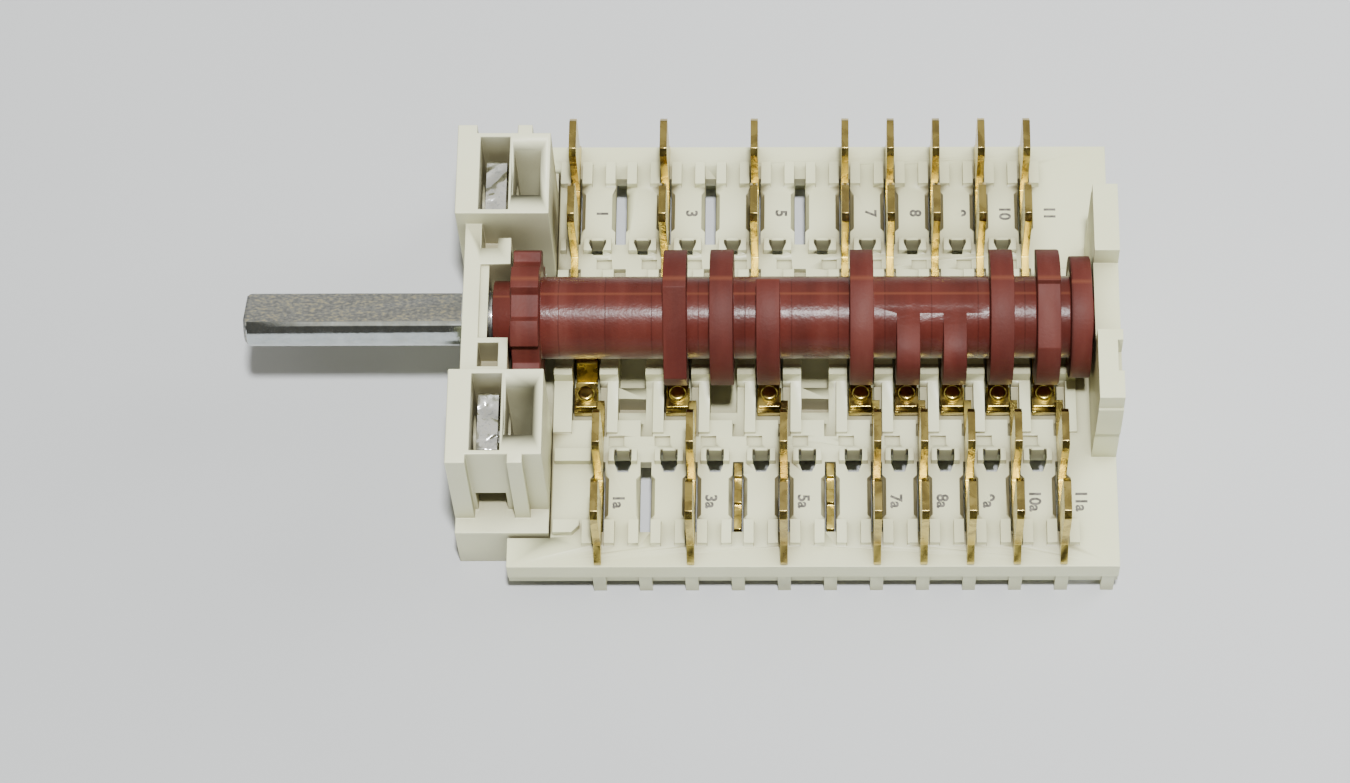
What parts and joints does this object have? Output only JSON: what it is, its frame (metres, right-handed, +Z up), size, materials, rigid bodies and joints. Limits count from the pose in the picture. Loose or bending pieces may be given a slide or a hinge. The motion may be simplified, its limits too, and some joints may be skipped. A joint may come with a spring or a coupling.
{
  "type": "oven selector switch",
  "caption": "Open rotary cam switch: cam drum on a 6 mm D-shaft over sprung brass contacts, with rows of twin tab terminals and a two-nut front bracket.",
  "frame": {"origin": "middle of the footprint, in the plane that the ribs and the bracket stand on", "axes": "+X runs along the drum away from the shaft tip, +Y to the far row of terminals, +Z up out of the open side"},
  "size_m": [0.0942, 0.0514, 0.0227],
  "materials": {
    "cream_moulding": "satin",
    "ivory_moulding": "satin",
    "red_brown_moulding": "satin",
    "zinc_plated_steel": "satin",
    "bright_steel": "polished",
    "brass_sheet": "satin",
    "brass_rivet": "polished",
    "silver_contact": "polished"
  },
  "bodies": {
    "base": {"base_moulding": "cream_moulding", "front_bracket": "ivory_moulding", "nut_far": "bright_steel", "nut_near": "bright_steel", "detent_spring": "bright_steel", "thrust_washer": "bright_steel", "terminal_1": "brass_sheet", "terminal_3": "brass_sheet", "terminal_5": "brass_sheet", "terminal_7": "brass_sheet", "terminal_8": "brass_sheet", "terminal_9": "brass_sheet", "terminal_10": "brass_sheet", "terminal_11": "brass_sheet", "terminal_1a": "brass_sheet", "terminal_3a": "brass_sheet", "terminal_5a": "brass_sheet", "terminal_7a": "brass_sheet", "terminal_8a": "brass_sheet", "terminal_9a": "brass_sheet", "terminal_10a": "brass_sheet", "terminal_11a": "brass_sheet", "fixed_contact_1": "silver_contact", "fixed_contact_3": "silver_contact", "fixed_contact_5": "silver_contact", "fixed_contact_7": "silver_contact", "fixed_contact_8": "silver_contact", "fixed_contact_9": "silver_contact", "fixed_contact_10": "silver_contact", "fixed_contact_11": "silver_contact", "link_strip_4a": "brass_sheet", "link_strip_6a": "brass_sheet"},
    "rotor": {"cam_drum": "red_brown_moulding", "drive_shaft": "zinc_plated_steel"},
    "arm_1": {"contact_spring_1": "brass_sheet", "spring_rivet_1": "brass_rivet", "moving_contact_1": "silver_contact"},
    "arm_3": {"contact_spring_3": "brass_sheet", "spring_rivet_3": "brass_rivet", "moving_contact_3": "silver_contact"},
    "arm_5": {"contact_spring_5": "brass_sheet", "spring_rivet_5": "brass_rivet", "moving_contact_5": "silver_contact"},
    "arm_7": {"contact_spring_7": "brass_sheet", "spring_rivet_7": "brass_rivet", "moving_contact_7": "silver_contact"},
    "arm_8": {"contact_spring_8": "brass_sheet", "spring_rivet_8": "brass_rivet", "moving_contact_8": "silver_contact"},
    "arm_9": {"contact_spring_9": "brass_sheet", "spring_rivet_9": "brass_rivet", "moving_contact_9": "silver_contact"},
    "arm_10": {"contact_spring_10": "brass_sheet", "spring_rivet_10": "brass_rivet", "moving_contact_10": "silver_contact"},
    "arm_11": {"contact_spring_11": "brass_sheet", "spring_rivet_11": "brass_rivet", "moving_contact_11": "silver_contact"}
  },
  "joints": [
    {"name": "drum_turn", "type": "hinge", "parent": "base", "child": "rotor", "pos_m": [-0.01427, 0, 0.0154], "axis": [-1, 0, 0], "continuous": true, "deforming": ["detent_spring"]},
    {"name": "spring_1_flex", "type": "hinge", "parent": "base", "child": "arm_1", "pos_m": [-0.01063, -0.0055, 0.0066], "axis": [-1, 0, 0], "range_deg": [-5.5, 0], "stiffness_Nm_per_rad": 0.02},
    {"name": "spring_3_flex", "type": "hinge", "parent": "base", "child": "arm_3", "pos_m": [-0.00063, -0.0055, 0.0066], "axis": [-1, 0, 0], "range_deg": [-5.5, 0], "stiffness_Nm_per_rad": 0.02},
    {"name": "spring_5_flex", "type": "hinge", "parent": "base", "child": "arm_5", "pos_m": [0.00937, -0.0055, 0.0066], "axis": [-1, 0, 0], "range_deg": [-5.5, 0], "stiffness_Nm_per_rad": 0.02},
    {"name": "spring_7_flex", "type": "hinge", "parent": "base", "child": "arm_7", "pos_m": [0.01937, -0.0055, 0.0066], "axis": [-1, 0, 0], "range_deg": [-5.5, 0], "stiffness_Nm_per_rad": 0.02},
    {"name": "spring_8_flex", "type": "hinge", "parent": "base", "child": "arm_8", "pos_m": [0.02438, -0.0055, 0.0066], "axis": [-1, 0, 0], "range_deg": [-5.5, 0], "stiffness_Nm_per_rad": 0.02},
    {"name": "spring_9_flex", "type": "hinge", "parent": "base", "child": "arm_9", "pos_m": [0.02937, -0.0055, 0.0066], "axis": [-1, 0, 0], "range_deg": [-5.5, 0], "stiffness_Nm_per_rad": 0.02},
    {"name": "spring_10_flex", "type": "hinge", "parent": "base", "child": "arm_10", "pos_m": [0.03438, -0.0055, 0.0066], "axis": [-1, 0, 0], "range_deg": [-5.5, 0], "stiffness_Nm_per_rad": 0.02},
    {"name": "spring_11_flex", "type": "hinge", "parent": "base", "child": "arm_11", "pos_m": [0.03938, -0.0055, 0.0066], "axis": [-1, 0, 0], "range_deg": [-5.5, 0], "stiffness_Nm_per_rad": 0.02}
  ]
}
